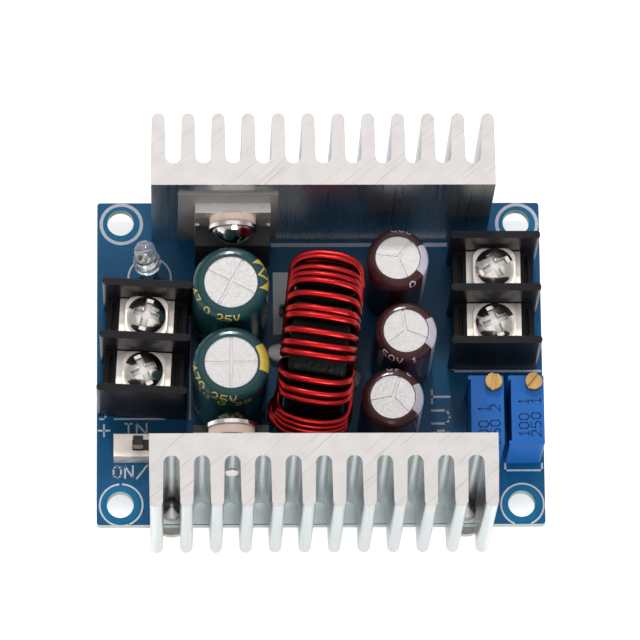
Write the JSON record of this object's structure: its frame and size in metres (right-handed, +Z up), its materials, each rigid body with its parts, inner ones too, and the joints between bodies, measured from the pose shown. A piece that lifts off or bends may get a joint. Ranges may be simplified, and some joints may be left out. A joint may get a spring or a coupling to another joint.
{
  "type": "buck converter module",
  "caption": "Step-down DC converter board with screw terminals, a wound ring choke, upright capacitors and finned aluminium heatsinks along its front and rear edges.",
  "frame": {"origin": "centre of the mounting hole pattern, in the plane of the board's underside", "axes": "+X along the long side from the input terminal to the output terminal, +Y to the rear heatsink, +Z up from the board"},
  "size_m": [0.06, 0.0534, 0.0288],
  "materials": {
    "board_blue": "blue-green solder mask with pale print",
    "solder": "bright solder",
    "sawn_aluminium": "extruded, mill finish, matte sawn ends",
    "dull_screw": "nickel plated steel, dulled",
    "bright_screw": "nickel plated",
    "moulded_epoxy": "matte black moulding compound",
    "tinned_copper": "satin tin plate",
    "thermal_pad": "grey-brown silicone sheet",
    "bushing_tan": "pinkish tan moulded plastic",
    "can_aluminium": "drawn, satin",
    "sleeve_green": "dark green shrink sleeve with gold print",
    "sleeve_brown": "dark brown shrink sleeve with pale stripe",
    "rubber_bung": "black rubber",
    "core_black": "black epoxy coated iron powder",
    "enamelled_copper": "glossy red enamel",
    "silicone": "white silicone",
    "terminal_black": "satin black moulded plastic",
    "nickel_plate": "nickel plated brass",
    "trimmer_blue": "moulded blue plastic",
    "brass_screw": "turned brass",
    "clear_epoxy": "water-clear cast epoxy",
    "switch_steel": "nickel plated sheet steel",
    "phenolic": "brown laminate",
    "slider_black": "black moulded plastic",
    "resistor_ceramic": "black overglaze on ceramic",
    "capacitor_ceramic": "fired tan ceramic"
  },
  "bodies": {
    "module": {"circuit_board": "board_blue", "solder_joints": "solder", "rear_heatsink": "sawn_aluminium", "front_heatsink": "sawn_aluminium", "heatsink_screws": "dull_screw", "transistor_body": "moulded_epoxy", "transistor_tab": "tinned_copper", "transistor_leads": "tinned_copper", "rectifier_body": "moulded_epoxy", "rectifier_tab": "tinned_copper", "rectifier_leads": "tinned_copper", "rear_insulating_pad": "thermal_pad", "front_insulating_pad": "thermal_pad", "insulating_bushings": "bushing_tan", "device_screws": "bright_screw", "input_capacitor_can_1": "can_aluminium", "input_capacitor_can_2": "can_aluminium", "output_capacitor_can_1": "can_aluminium", "output_capacitor_can_2": "can_aluminium", "output_capacitor_can_3": "can_aluminium", "input_capacitor_sleeve_1": "sleeve_green", "input_capacitor_sleeve_2": "sleeve_green", "output_capacitor_sleeve_1": "sleeve_brown", "output_capacitor_sleeve_2": "sleeve_brown", "output_capacitor_sleeve_3": "sleeve_brown", "capacitor_bungs": "rubber_bung", "capacitor_leads": "tinned_copper", "inductor_core": "core_black", "inductor_winding": "enamelled_copper", "inductor_adhesive": "silicone", "input_terminal_housing": "terminal_black", "output_terminal_housing": "terminal_black", "input_terminal_contacts": "nickel_plate", "output_terminal_contacts": "nickel_plate", "voltage_trimmer_body": "trimmer_blue", "current_trimmer_body": "trimmer_blue", "trimmer_pins": "tinned_copper", "indicator_lens": "clear_epoxy", "indicator_leads": "tinned_copper", "switch_shell": "switch_steel", "switch_base": "phenolic", "switch_pins": "tinned_copper", "controller_chip": "moulded_epoxy", "amplifier_chip": "moulded_epoxy", "chip_leads": "tinned_copper", "shunt_resistor": "resistor_ceramic", "chip_resistors": "resistor_ceramic", "chip_capacitors": "capacitor_ceramic"},
    "input_clamp_1": {"input_clamp_1": "nickel_plate"},
    "input_clamp_2": {"input_clamp_2": "nickel_plate"},
    "output_clamp_1": {"output_clamp_1": "nickel_plate"},
    "output_clamp_2": {"output_clamp_2": "nickel_plate"},
    "input_screw_1": {"input_screw_1": "bright_screw"},
    "input_screw_2": {"input_screw_2": "bright_screw"},
    "output_screw_1": {"output_screw_1": "bright_screw"},
    "output_screw_2": {"output_screw_2": "bright_screw"},
    "voltage_screw": {"voltage_trimmer_screw": "brass_screw"},
    "current_screw": {"current_trimmer_screw": "brass_screw"},
    "slider": {"switch_slider": "slider_black"}
  },
  "joints": [
    {"name": "input_clamp_1_lift", "type": "slide", "parent": "module", "child": "input_clamp_1", "axis": [0, 0, 1], "range_m": [-0.0013, 0.0007]},
    {"name": "input_screw_1_turn", "type": "hinge", "parent": "input_clamp_1", "child": "input_screw_1", "pos_m": [-0.0233, 0.00373, 0.01096], "axis": [0, 0, 1], "range_deg": [-936.1, 504.1]},
    {"name": "input_clamp_2_lift", "type": "slide", "parent": "module", "child": "input_clamp_2", "axis": [0, 0, 1], "range_m": [0, 0.002]},
    {"name": "input_screw_2_turn", "type": "hinge", "parent": "input_clamp_2", "child": "input_screw_2", "pos_m": [-0.0237, -0.00353, 0.00966], "axis": [0, 0, 1], "range_deg": [0, 1440.1]},
    {"name": "output_clamp_1_lift", "type": "slide", "parent": "module", "child": "output_clamp_1", "axis": [0, 0, 1], "range_m": [-0.0013, 0.0007]},
    {"name": "output_screw_1_turn", "type": "hinge", "parent": "output_clamp_1", "child": "output_screw_1", "pos_m": [0.0232, 0.01039, 0.01096], "axis": [0, 0, 1], "range_deg": [-936.1, 504.1]},
    {"name": "output_clamp_2_lift", "type": "slide", "parent": "module", "child": "output_clamp_2", "axis": [0, 0, 1], "range_m": [0, 0.002]},
    {"name": "output_screw_2_turn", "type": "hinge", "parent": "output_clamp_2", "child": "output_screw_2", "pos_m": [0.0232, 0.00313, 0.00966], "axis": [0, 0, 1], "range_deg": [0, 1440.1]},
    {"name": "voltage_screw_turn", "type": "hinge", "parent": "module", "child": "voltage_screw", "pos_m": [0.0227, -0.00585, 0.0119], "axis": [0, 0, 1], "continuous": true},
    {"name": "current_screw_turn", "type": "hinge", "parent": "module", "child": "current_screw", "pos_m": [0.02803, -0.00585, 0.0119], "axis": [0, 0, 1], "continuous": true},
    {"name": "switch_slide", "type": "slide", "parent": "module", "child": "slider", "axis": [1, 0, 0], "range_m": [0, 0.002]}
  ],
  "couplings": [
    {"joint": "input_screw_1_turn", "follows": "input_clamp_1_lift", "rad_per_m": 12566},
    {"joint": "input_screw_2_turn", "follows": "input_clamp_2_lift", "rad_per_m": 12566},
    {"joint": "output_screw_1_turn", "follows": "output_clamp_1_lift", "rad_per_m": 12566},
    {"joint": "output_screw_2_turn", "follows": "output_clamp_2_lift", "rad_per_m": 12566}
  ]
}
